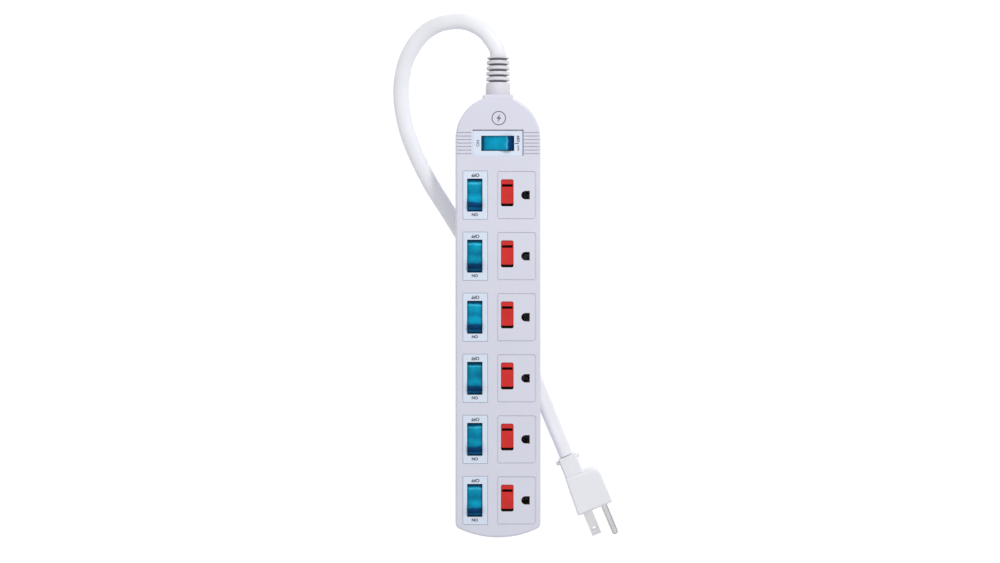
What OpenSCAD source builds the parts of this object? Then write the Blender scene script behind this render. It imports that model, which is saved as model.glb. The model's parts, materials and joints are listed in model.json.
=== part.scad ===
// Six-outlet power strip with a master switch, a rocker switch and a sliding red
// shutter for each outlet, a ribbed strain relief and a cord that ends in a
// three-pin plug.
// +X runs across the face towards the ground holes, +Y along the strip towards
// the cord, +Z up out of the face. The origin is on the surface that the strip
// stands on, under the middle of the housing.

/* [Housing] */
// Width of the housing
body_w = 55.8; // [54:0.2:58]
// Length of the housing, from the rounded foot end to the neck's end face
body_l = 290.5; // [289:0.5:293]
// Height of the housing without its feet
body_h = 30; // [29:0.5:34]
// Thickness of the shell walls
wall = 2.2; // [1.8:0.1:2.4]
// Height of the rubber feet
foot_h = 10; // [10:0.5:14]
// Radius of the shallow arc across the foot end
end_arc_r = 60; // [55:1:80]
// Radius of the foot end's corners
corner_r = 4; // [3:0.5:6]
// Width of the neck that holds the strain relief
neck_w = 20.2; // [19:0.2:22]

/* [Outlets] */
// Distance from one outlet to the next
pitch = 40; // [39.5:0.1:40.5]
// Place of the first outlet's middle along the strip
first_row_y = 79.2; // [78.8:0.1:79.6]
// Distance between the two blade slots of an outlet
slot_gap = 12.7; // [12.6:0.1:12.8]
// Length of a blade slot across the strip
slot_len = 7; // [6.9:0.1:7.2]
// Width of a blade slot
slot_w = 1.7; // [1.65:0.05:1.8]
// Place of the blade slots across the strip
window_x = 6.05; // [6:0.05:6.1]
// Distance from the blade slots to the middle of the ground hole
ground_off = 11.95; // [11.9:0.05:12]
// Width of the D-shaped ground hole
ground_w = 5.6; // [5.5:0.1:5.8]
// Travel of a shutter
shutter_travel = 1.8; // [1.7:0.1:1.8]

/* [Switches] */
// Place of the rocker switches across the strip
rocker_x = -15.2; // [-15.3:0.1:-15.1]
// Length of the hole that a rocker sits in
well_l = 21.6; // [21.6:0.1:22]
// Width of the hole that a rocker sits in
well_w = 10; // [9.8:0.1:10.2]
// Tilt of a rocker to each side of level, in degrees
rocker_tilt = 11; // [9:0.5:11]
// Tilt of a contact arm to each side of level, in degrees
arm_tilt = 8.25; // [7:0.25:8.25]
// Depth of the rocker's pivot below the switch's flange
pivot_depth = 4.5; // [4.4:0.1:4.8]
// Place of the main switch along the strip
main_y = 113.2; // [113:0.1:113.4]

/* [Cord and plug] */
// Width of the flat cord
cord_w = 10.6; // [9.6:0.2:10.6]
// Thickness of the flat cord
cord_t = 7.4; // [6.8:0.2:7.4]
// Thickness of the plug across its two blades
plug_t = 23; // [21:0.5:23]

/* [Hidden] */

e = 0.01;
rows = 6;
half_w = body_w / 2;
half_l = body_l / 2;
base_z = foot_h;
part_z = foot_h + body_h / 2;
face_z = foot_h + body_h;
floor_z = base_z + wall;
ceiling_z = face_z - wall;
dome_y = 116.5;
arc_y = -half_l + end_arc_r;

// Corner circle of the foot end, tangent to the side and to the end arc
corner_x = half_w - corner_r;
corner_y = arc_y - sqrt(pow(end_arc_r - corner_r, 2) - pow(corner_x, 2));

// Switches
flange_w = 16;
flange_l = 31.4;
flange_t = 1;
flange_x = -14.9;
flange_gap = 0.15;
cup_wall = 1.2;
cup_depth = 17;
cup_floor = 1.2;
rocker_r = 10.5;
rocker_half_w = well_w / 2 - 0.3;
axle_r = 1.2;
axle_hole_r = 1.25;
arm_depth = 12;
trunnion_r = 1;
trunnion_hole_r = 1.05;
main_flange_l = 32.6;
main_flange_w = 16.6;
main_sink = 1;
main_gap = 0.6;
main_x = -0.2;
main_z = face_z - main_sink;

// Outlets
panel_l = 31.4;
panel_x0 = -0.5;
panel_x1 = 24.7;
panel_line = 0.5;
window_w = 8.3;
window_top = 10.35;
window_bottom = -7.3;
window_r = 1.2;
pad_bottom = window_bottom + shutter_travel;
carrier_top = face_z - 5;
carrier_t = 2;
ground_x = window_x + ground_off;
contact_top = carrier_top - carrier_t - 1;
contact_h = 8;
contact_z = contact_top - contact_h;
neutral_x = 12.2;
ground_bus_x = 22.6;
bus_top_y = 92;
bus_end_y = -132;

// Grip grooves beside the main switch
groove_n = 7;
groove_pitch = 2.3;
groove_w = 0.9;
groove_d = 0.7;

// Places of the casing screws and of the feet, as [x, y]
screw_spots = [[-21.5, 99.5], [21.5, 99.5], [-4.8, 59.2], [-4.8, -20.8], [-4.8, -100.8], [0, -138.5]];
foot_spots = [[-17, 117], [17, 117], [-17, -124], [17, -124]];
keyhole_y = 40;
keyhole_r = 4.2;
keyhole_slot_r = 2.2;
keyhole_run = 8;

// Strain relief, along its own axis from the neck's end face
relief_z = part_z;
relief_l = 26;
relief_collar = 7.9;
relief_rib_pitch = 3.65;
relief_groove_w = 1.4;

// Route of the cord's middle line, from the strain relief to the plug, and the
// turn of its flat side at each point in degrees (0 lies flat)
cord_route = [
    [0, 171.3, 25], [0, 173.5, 25], [-0.9, 177.1, 25], [-4, 182.2, 24.6], [-9.6, 188.9, 23.5], [-18.3, 194.1, 21.5],
    [-27.4, 195.9, 19], [-38.6, 194.6, 16], [-48, 190.1, 13], [-56, 181.9, 10.2], [-61.8, 171, 7.6],
    [-64.8, 158.5, 5.6], [-65.4, 148.4, 4.5], [-64.5, 138.3, 4], [-61.7, 125, 3.8], [-57, 112, 3.8],
    [-51.1, 99, 3.8], [-44.2, 86.2, 3.8], [-36.5, 74, 3.8], [-28.3, 61, 3.8], [-19.6, 46, 3.8],
    [-10, 28.3, 3.9], [0, 9, 4.1], [10, -11.5, 4.4], [20, -33, 4.9], [28.7, -53, 5.6],
    [36.4, -71.5, 8], [41.4, -83.5, 10.4], [45.8, -94.2, 11.5]];
cord_turn = [
    0, 0, 0, 0, 0, 0, 0, 0, 0, 0, 0, 0, 0, 0, 0, 0, 0, 0, 0, 0, 0, 0, 4, 12, 22, 31, 38, 44, 48];
cord_sides = 12;
cord_rings = 60;

// Plug: lies on its side, blades one above the other
plug_at = [45.8, -94.2, plug_t / 2];
plug_turn = 22.5;
plug_l = 39;
plug_neck_l = 13.2;
blade_l = 16.5;
blade_w = 6.35;
blade_t = 1.5;
blade_off = -1.2;
pin_off = blade_off + 11.9;
pin_r = 2.4;
pin_l = 22.5;

function row_y(i) = first_row_y - pitch * i;

// ---- helpers ----

// Outline of the housing, shrunk by d
module outline(d = 0) {
    translate([0, dome_y]) circle(half_w - d, $fn = 96);
    translate([-half_w + d, corner_y]) square([body_w - 2 * d, dome_y - corner_y]);
    translate([-neck_w / 2 + d, dome_y]) square([neck_w - 2 * d, half_l - dome_y - d]);
    for (s = [-1, 1]) translate([s * corner_x, corner_y]) circle(corner_r - d, $fn = 48);
    intersection() {
        translate([0, arc_y]) circle(end_arc_r - d, $fn = 180);
        polygon([[0, arc_y], [-corner_x * 2, arc_y + (corner_y - arc_y) * 2],
            [corner_x * 2, arc_y + (corner_y - arc_y) * 2]]);
        translate([-half_w, -body_l]) square([body_w, body_l]);
    }
}

module rounded_rect(x0, y0, x1, y1, r) {
    translate([x0 + r, y0]) square([x1 - x0 - 2 * r, y1 - y0]);
    translate([x0, y0 + r]) square([x1 - x0, y1 - y0 - 2 * r]);
    for (x = [x0 + r, x1 - r]) for (y = [y0 + r, y1 - r]) translate([x, y]) circle(r, $fn = 32);
}

// Box with its middle at [x, y] and its underside at z
module block(x, y, z, lx, ly, lz) {
    translate([x - lx / 2, y - ly / 2, z]) cube([lx, ly, lz]);
}

module rod_x(r, l, y = 0, z = 0) {
    translate([-l / 2, y, z]) rotate([0, 90, 0]) cylinder(h = l, r = r, $fn = 32);
}

// Smooth curve through points p at parameter t, 0 to len(p) - 1
function spline(p, t) =
    let (i = min(floor(t), len(p) - 2), u = t - i, a = p[max(i - 1, 0)], b = p[i], c = p[i + 1],
        d = p[min(i + 2, len(p) - 1)])
    0.5 * (2 * b + (c - a) * u + (2 * a - 5 * b + 4 * c - d) * u * u
        + (3 * b - a - 3 * c + d) * u * u * u);

function unit(v) = v / norm(v);
function heading(p, t) =
    unit(spline(p, min(t + 0.02, len(p) - 1)) - spline(p, max(t - 0.02, 0)));

// Oval ring round the route at parameter t
function oval(p, turns, t, w, h, n) =
    let (c = spline(p, t), f = heading(p, t), side = unit(cross(f, [0, 0, 1])), up = cross(side, f),
        q = spline(turns, t))
    [for (k = [0:n - 1]) let (a = 360 * k / n, x = w / 2 * cos(a), y = h / 2 * sin(a))
        c + side * (x * cos(q) - y * sin(q)) + up * (x * sin(q) + y * cos(q))];

module tube(p, turns, w, h, n, rings) {
    points = [for (j = [0:rings - 1]) each oval(p, turns, (len(p) - 1) * j / (rings - 1), w, h, n)];
    ends = [[for (k = [0:n - 1]) k], [for (k = [n - 1:-1:0]) (rings - 1) * n + k]];
    sides = [for (j = [0:rings - 2]) for (k = [0:n - 1])
        let (k2 = (k + 1) % n, a = j * n + k, b = j * n + k2, c = (j + 1) * n + k2, d = (j + 1) * n + k)
        each [[a, d, b], [b, d, c]]];
    polyhedron(points = points, faces = concat(ends, sides), convexity = 10);
}

module wire(p, d) {
    tube(p, [for (q = p) 0], d, d, 8, len(p) * 3);
}

// ---- housing ----

module top_shell() color([0.86, 0.86, 0.92]) difference() {
    union() {
        difference() {
            translate([0, 0, part_z]) linear_extrude(face_z - part_z) outline();
            translate([0, 0, part_z - e]) linear_extrude(ceiling_z - part_z + e) outline(wall);
        }
        // thicker wall round the main switch
        block(main_x, main_y, main_z - 3, main_flange_l + 3, main_flange_w + 3, ceiling_z - main_z + 3 + e);
        for (p = screw_spots) translate([p[0], p[1], part_z]) cylinder(h = ceiling_z - part_z + e, r = 3, $fn = 48);
    }
    for (p = screw_spots) translate([p[0], p[1], part_z - e]) cylinder(h = 9, r = 1.52, $fn = 32);
    // neck hole for the strain relief
    translate([0, half_l - wall - 3, relief_z]) rotate([-90, 0, 0]) cylinder(h = wall + 4, r = 6, $fn = 64);
    // switch openings and the shallow seats of their flanges
    for (i = [0:rows - 1]) {
        block(rocker_x, row_y(i), part_z, well_w + 2 * cup_wall + 0.3, well_l + 2 * cup_wall + 0.3, body_h);
        block(flange_x, row_y(i), face_z - flange_t, flange_w + 2 * flange_gap, flange_l + 2 * flange_gap,
            flange_t + 1);
    }
    block(main_x, main_y, part_z, well_l + 2 * cup_wall + 0.3, well_w + 2 * cup_wall + 0.3, body_h);
    block(main_x, main_y, main_z - flange_t, main_flange_l, main_flange_w, body_h);
    // gap beside the flange's cord-side and right-hand edges
    block(main_x, main_y + main_flange_w / 2 + main_gap / 2, main_z - 2.2, main_flange_l, main_gap, body_h);
    block(main_x + main_flange_l / 2 + main_gap / 2, main_y + main_gap / 2, main_z - 2.2, main_gap,
        main_flange_w + main_gap, body_h);
    // outlet windows, ground holes and the line round each outlet
    for (i = [0:rows - 1]) translate([0, row_y(i), 0]) {
        translate([0, 0, ceiling_z - e]) linear_extrude(wall + 1) {
            rounded_rect(window_x - window_w / 2, window_bottom, window_x + window_w / 2, window_top, window_r);
            ground_hole();
        }
        translate([0, 0, face_z - panel_line]) linear_extrude(1) difference() {
            rounded_rect(panel_x0, -panel_l / 2, panel_x1, panel_l / 2, 1.5);
            rounded_rect(panel_x0 + panel_line, -panel_l / 2 + panel_line, panel_x1 - panel_line,
                panel_l / 2 - panel_line, 1);
        }
    }
    // grip grooves
    for (j = [0:groove_n - 1]) for (s = [-1, 1])
        block(main_x + s * (main_flange_l / 2 + 10.6), main_y + (j - (groove_n - 1) / 2) * groove_pitch,
            face_z - groove_d, 20, groove_w, 1);
}

module ground_hole() {
    translate([ground_x, 0]) circle(ground_w / 2, $fn = 48);
    translate([ground_x, -ground_w / 2]) square([ground_w / 2, ground_w]);
}

module bottom_shell() color([0.84, 0.84, 0.9]) difference() {
    union() {
        difference() {
            translate([0, 0, base_z]) linear_extrude(part_z - base_z) outline();
            translate([0, 0, floor_z]) linear_extrude(part_z - floor_z + e) outline(wall);
        }
        for (p = screw_spots) translate([p[0], p[1], base_z]) cylinder(h = part_z - base_z, r = 4, $fn = 48);
        for (p = foot_spots) translate([p[0], p[1], base_z]) cylinder(h = 5, r = 4, $fn = 48);
        // ribs that carry the two buses, and a saddle under each end of the line bus
        for (i = [0:rows - 2]) block(17.8, row_y(i) - pitch / 2, floor_z - e, 15, 2, contact_z - floor_z + e);
        block(17.8, bus_end_y + 2, floor_z - e, 15, 2, contact_z - floor_z + e);
        for (y = [row_y(0) + 6, row_y(5) - 6]) block(rocker_x, y, floor_z - e, 7, 3, 16.2 - floor_z + e);
    }
    for (p = screw_spots) translate([p[0], p[1], base_z - e]) {
        cylinder(h = 8 + e, r = 3.2, $fn = 48);
        cylinder(h = 20, r = 1.7, $fn = 32);
    }
    for (p = foot_spots) translate([p[0], p[1], base_z - e]) cylinder(h = 4.4, r = 1.52, $fn = 32);
    // keyholes for hanging the strip on two screws
    for (s = [-1, 1]) translate([0, s * keyhole_y, base_z - e]) {
        cylinder(h = wall + 2 * e, r = keyhole_r, $fn = 64);
        linear_extrude(wall + 2 * e) {
            translate([-keyhole_slot_r, 0]) square([2 * keyhole_slot_r, keyhole_run]);
            translate([0, keyhole_run]) circle(keyhole_slot_r, $fn = 48);
        }
    }
    translate([0, half_l - wall - 3, relief_z]) rotate([-90, 0, 0]) cylinder(h = wall + 4, r = 6, $fn = 64);
}

module screw(head_r, head_h, shaft_r, shaft_l) {
    difference() {
        cylinder(h = head_h, r = head_r, $fn = 32);
        for (a = [0, 90]) rotate(a) translate([-head_r * 0.6, -0.35, -e]) cube([head_r * 1.2, 0.7, head_h * 0.6]);
    }
    translate([0, 0, head_h]) cylinder(h = shaft_l, r = shaft_r, $fn = 32);
}

module casing_screws() color("silver")
    for (p = screw_spots) translate([p[0], p[1], base_z + 6]) screw(2.9, 2, 1.5, 15.5);

module rubber_feet() color([0.2, 0.2, 0.21])
    for (p = foot_spots) translate([p[0], p[1], 0]) difference() {
        rotate_extrude($fn = 64)
            polygon([[0, 0], [5.6, 0], [6.2, 0.6], [7, foot_h - 0.8], [7, foot_h], [0, foot_h]]);
        translate([0, 0, -e]) cylinder(h = foot_h - 3 + e, r = 3.4, $fn = 48);
        cylinder(h = foot_h + 1, r = 1.6, $fn = 32);
    }

module foot_screws() color("silver")
    for (p = foot_spots) translate([p[0], p[1], foot_h - 5]) screw(2.9, 2, 1.5, 7);

module strain_relief() color([0.9, 0.9, 0.92])
    translate([0, half_l, relief_z]) rotate([-90, 0, 0]) difference() {
        rotate_extrude($fn = 96) polygon([[0, -5.2], [7.4, -5.2], [7.4, -wall - 0.1], [5.95, -wall - 0.1],
            [5.95, 0.05], [8, 0.05], [8.3, 0.5], [8.1, relief_collar], [7.3, relief_l - 0.8],
            [6.7, relief_l], [0, relief_l]]);
        for (k = [0:4]) translate([0, 0, relief_collar + 1 + k * relief_rib_pitch]) rotate_extrude($fn = 96)
            translate([5.7, 0]) square([4, relief_groove_w]);
    }

// ---- switches, drawn about the middle of the well with z = 0 at the flange's top ----

module at_switch(i) translate([rocker_x, row_y(i), face_z]) children();
module at_main() translate([main_x, main_y, main_z]) rotate(90) children();

// Switch body: flange of w by l whose middle is dx off the well, and the cup
module switch_cup(w, l, dx) difference() {
    union() {
        block(dx, 0, -flange_t, w, l, flange_t);
        block(0, 0, -cup_depth, well_w + 2 * cup_wall, well_l + 2 * cup_wall, cup_depth);
    }
    block(0, 0, -cup_depth + cup_floor, well_w, well_l, cup_depth);
    rod_x(axle_hole_r, well_w + 2 * cup_wall + 1, 0, -pivot_depth);
    // slits for the terminals
    for (y = [0, 7]) block(0, y, -cup_depth - 1, 4.9, 0.9, cup_floor + 2);
}

// Rocker, level, about its pivot
module rocker_shape() {
    difference() {
        intersection() {
            rod_x(rocker_r, 2 * rocker_half_w);
            rotate([90, 0, 90]) translate([0, 0, -rocker_half_w]) linear_extrude(2 * rocker_half_w)
                polygon([[-10.6, -1.5], [10.6, -1.5], [10.6, 3.42], [8, 5.5], [0, 4.3], [-8, 5.5],
                    [-10.6, 3.42]]);
        }
        rotate([90, 0, 90]) translate([0, 0, -rocker_half_w + 1]) linear_extrude(2 * rocker_half_w - 2)
            polygon([[-9.4, -2], [9.4, -2], [9.4, 3.2], [7.5, 4.4], [0, 3.2], [-7.5, 4.4], [-9.4, 3.2]]);
    }
    for (s = [-1, 1]) translate([s * (rocker_half_w + 0.55), 0, 0]) rod_x(axle_r, 1.3);
    translate([0, 0, -3]) difference() {
        cylinder(h = 6.6, r = 2.2, $fn = 32);
        translate([0, 0, -e]) cylinder(h = 5.6, r = 1.25, $fn = 32);
    }
}

module rocker_at_rest()
    color([0.02, 0.58, 0.75]) translate([0, 0, -pivot_depth]) rotate([-rocker_tilt, 0, 0]) rocker_shape();

// Plunger with its round tip, and the spring above it
module plunger_at_rest() color([0.8, 0.8, 0.78])
    translate([0, 0, -pivot_depth]) rotate([-rocker_tilt, 0, 0]) {
        translate([0, 0, -5]) cylinder(h = 5.5, r = 1.2, $fn = 32);
        translate([0, 0, -5]) sphere(1.2, $fn = 32);
        translate([0, 0, 0.55]) difference() {
            cylinder(h = 2, r = 1.1, $fn = 32);
            translate([0, 0, -e]) cylinder(h = 3, r = 0.7, $fn = 32);
        }
    }

// Contact arm that rocks on its trunnion, with a silver contact under its live end
module arm_at_rest() color([0.8, 0.6, 0.3])
    translate([0, 0, -arm_depth]) rotate([arm_tilt, 0, 0]) {
        block(0, 0, -0.4, 4, 16, 0.8);
        rod_x(trunnion_r, 6.4);
        translate([0, 7, -1]) cylinder(h = 0.7, r = 1.3, $fn = 32);
    }

// Bracket that carries the arm, and the fixed contact
module terminal_pair(tab_line, tab_out) color([0.85, 0.65, 0.3]) {
    difference() {
        union() {
            block(0, 0, -cup_depth + cup_floor, 6.4, 3, 0.8);
            for (s = [-1, 1]) block(s * 2.8, 0, -cup_depth + cup_floor, 0.8, 3, 5.4);
        }
        rod_x(trunnion_hole_r, 8, 0, -arm_depth);
    }
    block(0, 0, -cup_depth - tab_line, 4.8, 0.8, cup_floor + tab_line + e);
    block(0, 7, -cup_depth - tab_out, 4.8, 0.8, cup_floor + tab_out + e);
    block(0, 7, -cup_depth + cup_floor, 4.8, 3, 1);
    translate([0, 7, -cup_depth + cup_floor + 1 - e]) cylinder(h = 0.6, r = 1.3, $fn = 32);
}

module lamp() color([1, 0.6, 0.4]) {
    translate([4, -6, -cup_depth + cup_floor]) cylinder(h = 6, r = 0.95, $fn = 24);
    translate([4, -6, -cup_depth + cup_floor + 6]) sphere(0.95, $fn = 24);
}

module main_switch_body() color([0.9, 0.9, 0.95]) at_main() switch_cup(main_flange_w, main_flange_l, 0);
module main_rocker() at_main() rocker_at_rest();
module main_spring_plunger() at_main() plunger_at_rest();
module main_contact_arm() at_main() arm_at_rest();
module main_terminals() at_main() terminal_pair(4, 4);
module main_bimetal() color([0.7, 0.62, 0.5]) at_main() {
    block(-4.5, 0, -cup_depth + cup_floor, 0.5, 14, 6);
}

module switch_body(i) color([0.9, 0.9, 0.95])
    at_switch(i) switch_cup(flange_w, flange_l, flange_x - rocker_x);
module rocker(i) at_switch(i) rocker_at_rest();
module spring_plunger(i) at_switch(i) plunger_at_rest();
module contact_arm(i) at_switch(i) arm_at_rest();
module switch_terminals() for (i = [0:rows - 1]) at_switch(i) terminal_pair(6, 3);
module lamps() {
    for (i = [0:rows - 1]) at_switch(i) lamp();
    at_main() lamp();
}

// ---- outlets ----

module shutter(i) color([0.82, 0.2, 0.18]) translate([window_x, row_y(i), 0]) difference() {
    union() {
        translate([0, 0, ceiling_z - 0.4]) linear_extrude(face_z - 0.5 - ceiling_z + 0.4)
            rounded_rect(-window_w / 2 + 0.1, pad_bottom, window_w / 2 - 0.1, window_top - 0.1, window_r);
        translate([-window_w / 2 - 1, pad_bottom, carrier_top + 0.2])
            cube([window_w + 2, window_top + 1.5 - pad_bottom, ceiling_z - carrier_top - 0.5]);
    }
    block(0, slot_gap / 2, carrier_top - 1, slot_len, slot_w, 8);
}

// Insulating tray under the outlets: blade slots, ground holes, guide rails and dividers
module contact_carrier() color([0.16, 0.15, 0.15]) {
    difference() {
        translate([-0.4, bus_end_y - 2, carrier_top - carrier_t])
            cube([25, bus_top_y + 4 - bus_end_y, carrier_t]);
        for (i = [0:rows - 1]) translate([0, row_y(i), 0]) {
            for (s = [-1, 1]) block(window_x, s * slot_gap / 2, carrier_top - carrier_t - 1, slot_len, slot_w, 8);
            translate([0, 0, carrier_top - carrier_t - 1]) linear_extrude(8) ground_hole();
        }
    }
    for (i = [0:rows - 1]) translate([0, row_y(i), 0]) {
        for (x = [window_x - window_w / 2 - 1.7, window_x + window_w / 2 + 1.7])
            block(x, 1.5, carrier_top - e, 0.8, 26, ceiling_z - carrier_top);
        block(window_x, 0, carrier_top - carrier_t - 8, 8, 1.2, 8 + e);
    }
}

// Spring clip that grips one blade
module blade_clip(y) {
    for (s = [-1, 1]) block(window_x, y + s * 1, contact_z, 7, 0.6, contact_h);
    block(window_x, y, contact_z, 7, 2.6, 0.6);
}

module line_contacts() color([0.85, 0.65, 0.3])
    for (i = [0:rows - 1]) translate([0, row_y(i), 0]) {
        blade_clip(-slot_gap / 2);
        block(1.6, -slot_gap / 2 - 1, contact_z, 2.2, 0.6, 5);
    }

module neutral_bus() color([0.85, 0.65, 0.3]) {
    translate([neutral_x - 0.4, bus_end_y, contact_z]) cube([0.8, bus_top_y - bus_end_y, 6]);
    for (i = [0:rows - 1]) translate([0, row_y(i), 0]) {
        blade_clip(slot_gap / 2);
        block(10.8, slot_gap / 2 + 1, contact_z, 2.8, 0.6, 6);
    }
}

module ground_bus() color([0.85, 0.65, 0.3]) {
    translate([ground_bus_x - 0.4, bus_end_y, contact_z]) cube([0.8, bus_top_y - bus_end_y, 6]);
    for (i = [0:rows - 1]) translate([ground_x, row_y(i), contact_z]) {
        difference() {
            cylinder(h = contact_h, r = 3.3, $fn = 48);
            translate([0, 0, -e]) cylinder(h = contact_h + 1, r = 2.7, $fn = 48);
            block(-3, 0, 1, 3, 1, contact_h);
        }
        block((3 + ground_bus_x - ground_x) / 2, 0, 0, ground_bus_x - ground_x - 3, 3, 6);
    }
}

module line_bus() color([0.8, 0.45, 0.3])
    translate([rocker_x - 2.5, row_y(5) - 8, face_z - cup_depth - 6.8]) cube([5, row_y(0) - row_y(5) + 16, 0.8]);

module line_jumpers() color([0.1, 0.1, 0.1])
    for (i = [0:rows - 1]) translate([0, row_y(i), 0])
        wire([[rocker_x + 2.4, 7, 21.5], [-10.4, 7, 21.3], [-6, 2.5, 22], [-3.4, -4, 25],
            [-1.5, -slot_gap / 2 - 1, 26.5], [0.5, -slot_gap / 2 - 1, 26.5]], 2.4);

// ---- surge protection ----

module surge_board() color([0.1, 0.4, 0.2]) {
    block(-1, 79, floor_z + 1.5, 18, 24, 1.6);
    for (x = [-8, 6]) for (y = [69, 89]) translate([x, y, floor_z]) cylinder(h = 1.5 + e, r = 1.6, $fn = 32);
}

module varistors() color([0.15, 0.3, 0.65])
    for (k = [0:2]) translate([-5 + k * 4.6, 74.5, floor_z + 3.1 + 3.4]) rod_x(3.4, 3.4);

module thermal_fuse() color([0.75, 0.72, 0.6])
    translate([-1, 86, floor_z + 3.1 + 1.5]) rod_x(1.5, 10);

// ---- wires inside ----

module cord_wires() {
    inner = half_l - 5.2;
    color([0.1, 0.1, 0.1]) wire([[-3.2, inner, relief_z], [-3.2, 136, relief_z], [-5, 129, 22.5],
        [-7, 122.5, 19.8], [-7.2, 118, 19.5], [-7.2, main_y + 2.4, 19.5]], 3);
    color([0.92, 0.92, 0.9]) wire([[0, inner, relief_z - 3], [0, 136, relief_z - 3], [4, 128, 19.5],
        [9.5, 119, 18.3], [12, 109, 18.3], [neutral_x, 101, 21.5], [neutral_x, 96, 26.5],
        [neutral_x, bus_top_y, 26.5]], 3);
    color([0.2, 0.55, 0.25]) wire([[3.2, inner, relief_z], [3.2, 136, relief_z], [8.5, 129, 23.5],
        [15.5, 121, 22.5], [17.2, 112, 22.5], [15.8, 104, 24], [15.6, 99.5, 25.5], [17, 95, 26.5],
        [19.5, 91, 27], [ground_bus_x - 0.4, 90.5, 27]], 3);
}

module main_feed_wire() color([0.1, 0.1, 0.1])
    wire([[main_x, main_y - 2.4, 19.5], [main_x, main_y - 5, 19.5], [-4, 102, 17], [-10, 96, 16.3],
        [-14.6, 91, 16.6], [rocker_x, row_y(0) + 8, 16.6]], 3);

// ---- cord and plug ----

module power_cord() color([0.93, 0.93, 0.94])
    tube(cord_route, cord_turn, cord_w, cord_t, cord_sides, cord_rings);

// Plug frame: x towards the ground pin, y along the blades, z across the blades
module at_plug() translate(plug_at) rotate(180 + plug_turn) mirror([1, 0, 0]) children();

module plug_body() color([0.92, 0.92, 0.93]) at_plug() {
    translate([0, 0, -6.5]) linear_extrude(13) translate([-6.3, 0]) square([12.6, plug_neck_l + 3]);
    translate([0, 0, -3]) linear_extrude(6) translate([-8.3, 1.2]) square([16.6, 2.6]);
    difference() {
        translate([0, 0, -plug_t / 2]) linear_extrude(plug_t) {
            polygon([[-6.6, plug_neck_l], [10.8, plug_neck_l + 0.4], [16.6, plug_neck_l + 6.2], [16.6, plug_l],
                [-8.2, plug_l]]);
            translate([10.8, plug_neck_l + 6.2]) circle(5.8, $fn = 64);
        }
        for (s = [-1, 1]) block_y(blade_off, plug_l - 6, s * slot_gap / 2, blade_w, blade_t, 10);
        translate([pin_off, plug_l - 6, 0]) rotate([-90, 0, 0]) cylinder(h = 10, r = pin_r, $fn = 48);
    }
}

// Box whose middle is at [x, z] and which runs from y along the plug's axis
module block_y(x, y, z, lx, lz, ly) translate([x - lx / 2, y, z - lz / 2]) cube([lx, ly, lz]);

module plug_blades() color([0.8, 0.8, 0.8]) at_plug()
    for (s = [-1, 1]) difference() {
        block_y(blade_off, plug_l - 6, s * slot_gap / 2, blade_w, blade_t, blade_l + 6);
        translate([blade_off, plug_l + blade_l - 4, s * slot_gap / 2 - 2]) cylinder(h = 4, r = 1.6, $fn = 32);
    }

module plug_ground_pin() color([0.8, 0.8, 0.8]) at_plug()
    translate([pin_off, plug_l - 6, 0]) rotate([-90, 0, 0]) {
        cylinder(h = pin_l + 6 - pin_r, r = pin_r, $fn = 48);
        translate([0, 0, pin_l + 6 - pin_r]) sphere(pin_r, $fn = 48);
    }

top_shell();
bottom_shell();
casing_screws();
rubber_feet();
foot_screws();
strain_relief();
main_switch_body();
main_rocker();
main_spring_plunger();
main_contact_arm();
main_terminals();
main_bimetal();
switch_body(0);  // switch_body_1
switch_body(1);  // switch_body_2
switch_body(2);  // switch_body_3
switch_body(3);  // switch_body_4
switch_body(4);  // switch_body_5
switch_body(5);  // switch_body_6
rocker(0);  // rocker_1
rocker(1);  // rocker_2
rocker(2);  // rocker_3
rocker(3);  // rocker_4
rocker(4);  // rocker_5
rocker(5);  // rocker_6
spring_plunger(0);  // spring_plunger_1
spring_plunger(1);  // spring_plunger_2
spring_plunger(2);  // spring_plunger_3
spring_plunger(3);  // spring_plunger_4
spring_plunger(4);  // spring_plunger_5
spring_plunger(5);  // spring_plunger_6
contact_arm(0);  // contact_arm_1
contact_arm(1);  // contact_arm_2
contact_arm(2);  // contact_arm_3
contact_arm(3);  // contact_arm_4
contact_arm(4);  // contact_arm_5
contact_arm(5);  // contact_arm_6
shutter(0);  // shutter_1
shutter(1);  // shutter_2
shutter(2);  // shutter_3
shutter(3);  // shutter_4
shutter(4);  // shutter_5
shutter(5);  // shutter_6
contact_carrier();
switch_terminals();
lamps();
line_bus();
neutral_bus();
ground_bus();
line_contacts();
line_jumpers();
surge_board();
varistors();
thermal_fuse();
cord_wires();
main_feed_wire();
power_cord();
plug_body();
plug_blades();
plug_ground_pin();
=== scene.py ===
import json
import math

import bmesh
import bpy
from mathutils import Matrix, Vector


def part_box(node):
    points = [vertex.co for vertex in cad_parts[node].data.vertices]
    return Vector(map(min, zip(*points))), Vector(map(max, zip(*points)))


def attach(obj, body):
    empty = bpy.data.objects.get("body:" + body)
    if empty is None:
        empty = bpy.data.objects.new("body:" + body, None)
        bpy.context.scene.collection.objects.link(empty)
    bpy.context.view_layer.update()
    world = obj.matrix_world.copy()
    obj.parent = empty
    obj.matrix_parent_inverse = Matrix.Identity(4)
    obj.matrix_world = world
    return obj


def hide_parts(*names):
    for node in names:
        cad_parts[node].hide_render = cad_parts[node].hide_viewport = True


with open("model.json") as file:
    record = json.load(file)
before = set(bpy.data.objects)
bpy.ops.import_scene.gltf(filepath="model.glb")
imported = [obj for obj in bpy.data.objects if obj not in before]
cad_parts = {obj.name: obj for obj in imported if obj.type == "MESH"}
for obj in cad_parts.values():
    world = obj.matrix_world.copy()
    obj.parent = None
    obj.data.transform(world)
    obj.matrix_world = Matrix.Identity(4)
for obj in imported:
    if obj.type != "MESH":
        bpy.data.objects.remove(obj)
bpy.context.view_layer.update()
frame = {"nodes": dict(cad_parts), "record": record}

MM = 0.001

# ---------------------------------------------------------------- places taken from the frame

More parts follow.
